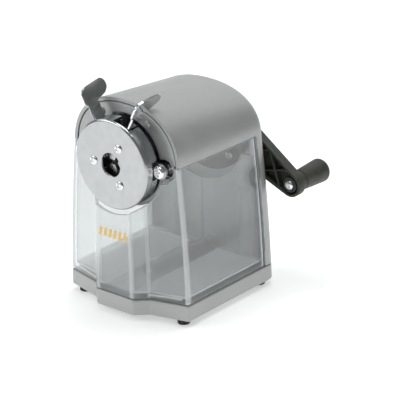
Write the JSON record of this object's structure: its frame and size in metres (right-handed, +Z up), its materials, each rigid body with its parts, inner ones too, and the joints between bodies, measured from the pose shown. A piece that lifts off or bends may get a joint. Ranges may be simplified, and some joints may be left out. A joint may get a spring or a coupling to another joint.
{
  "type": "pencil sharpener",
  "caption": "Desktop crank pencil sharpener: arched metallic hood, round chrome face with pinch ears that open jaws, clear shavings drawer, planetary helical cutter",
  "frame": {"origin": "middle of the bounding box at the underside of the feet", "axes": "+X right seen from the front, +Y to the back along the pencil, +Z up"},
  "size_m": [0.0898, 0.1048, 0.1139],
  "materials": {
    "silver_paint": "satin metallic",
    "clear_plastic": "polished clear",
    "black_rubber": "matte",
    "satin_chrome": "satin",
    "polished_chrome": "polished",
    "plain_steel": "machined",
    "dark_steel": "oiled",
    "dark_plastic": "fine grain",
    "brass": "machined"
  },
  "bodies": {
    "housing": {"base": "silver_paint", "foot_front_left": "black_rubber", "foot_front_right": "black_rubber", "foot_rear_left": "black_rubber", "foot_rear_right": "black_rubber", "base_screw_left": "plain_steel", "base_screw_right": "plain_steel", "hood": "silver_paint", "front_bezel": "silver_paint", "bezel_screw_left": "silver_paint", "bezel_screw_right": "silver_paint", "bulkhead": "dark_steel", "rod_bush_left": "plain_steel", "rod_bush_right": "plain_steel", "gear_case": "dark_plastic", "case_screw_upper_right": "plain_steel", "case_screw_upper_left": "plain_steel", "case_screw_lower_left": "plain_steel", "case_screw_lower_right": "plain_steel", "shaft_bush": "brass", "return_spring_left": "plain_steel", "return_spring_right": "plain_steel"},
    "drawer": {"drawer": "clear_plastic"},
    "carriage": {"face_cup": "satin_chrome", "carriage_plate": "plain_steel", "face_screw_left": "polished_chrome", "face_screw_upper": "polished_chrome", "face_screw_lower": "polished_chrome", "guide_rod_left": "polished_chrome", "rod_screw_left": "polished_chrome", "rod_clip_left": "dark_steel", "guide_rod_right": "polished_chrome", "rod_screw_right": "polished_chrome", "rod_clip_right": "dark_steel"},
    "pinch_lever": {"chuck_lever": "satin_chrome"},
    "jaw_a": {"jaw_1": "plain_steel"},
    "jaw_b": {"jaw_2": "plain_steel"},
    "jaw_c": {"jaw_3": "plain_steel"},
    "crank": {"cutter_head": "plain_steel", "cutter_pin": "plain_steel", "main_shaft": "plain_steel", "crank_arm": "dark_plastic", "crank_nut": "plain_steel", "handle_pin": "plain_steel"},
    "handle": {"crank_handle": "dark_plastic"},
    "cutter": {"helical_cutter": "dark_steel"}
  },
  "joints": [
    {"name": "drawer_slide", "type": "slide", "parent": "housing", "child": "drawer", "axis": [0, -1, 0], "range_m": [0, 0.06]},
    {"name": "carriage_slide", "type": "slide", "parent": "housing", "child": "carriage", "axis": [0, -1, 0], "range_m": [0, 0.032], "stiffness_N_per_m": 60, "springref_m": -0.02, "deforming": ["return_spring_left", "return_spring_right"]},
    {"name": "jaw_pinch", "type": "hinge", "parent": "carriage", "child": "pinch_lever", "pos_m": [-0.00689, -0.04793, 0.078], "axis": [0, -1, 0], "range_deg": [0, 22], "stiffness_Nm_per_rad": 0.03, "springref_deg": -17.19},
    {"name": "jaw_a_slide", "type": "slide", "parent": "carriage", "child": "jaw_a", "axis": [1, 0, 0], "range_m": [0, 0.0027]},
    {"name": "jaw_b_slide", "type": "slide", "parent": "carriage", "child": "jaw_b", "axis": [-0.5, 0, 0.866], "range_m": [0, 0.0027]},
    {"name": "jaw_c_slide", "type": "slide", "parent": "carriage", "child": "jaw_c", "axis": [-0.5, 0, -0.866], "range_m": [0, 0.0027]},
    {"name": "crank_turn", "type": "hinge", "parent": "housing", "child": "crank", "pos_m": [-0.00689, -0.04192, 0.078], "axis": [0, 1, 0], "continuous": true},
    {"name": "handle_spin", "type": "hinge", "parent": "crank", "child": "handle", "pos_m": [0.03859, 0.03807, 0.05279], "axis": [0, 1, 0], "continuous": true},
    {"name": "cutter_spin", "type": "hinge", "parent": "crank", "child": "cutter", "pos_m": [-0.00689, -0.01192, 0.08588], "axis": [0, 0.9823, -0.1874], "continuous": true}
  ],
  "couplings": [
    {"joint": "jaw_a_slide", "follows": "jaw_pinch", "m_per_rad": 0.0067713},
    {"joint": "jaw_b_slide", "follows": "jaw_pinch", "m_per_rad": 0.0067713},
    {"joint": "jaw_c_slide", "follows": "jaw_pinch", "m_per_rad": 0.0067713},
    {"joint": "cutter_spin", "follows": "crank_turn", "ratio": -1.8571}
  ]
}
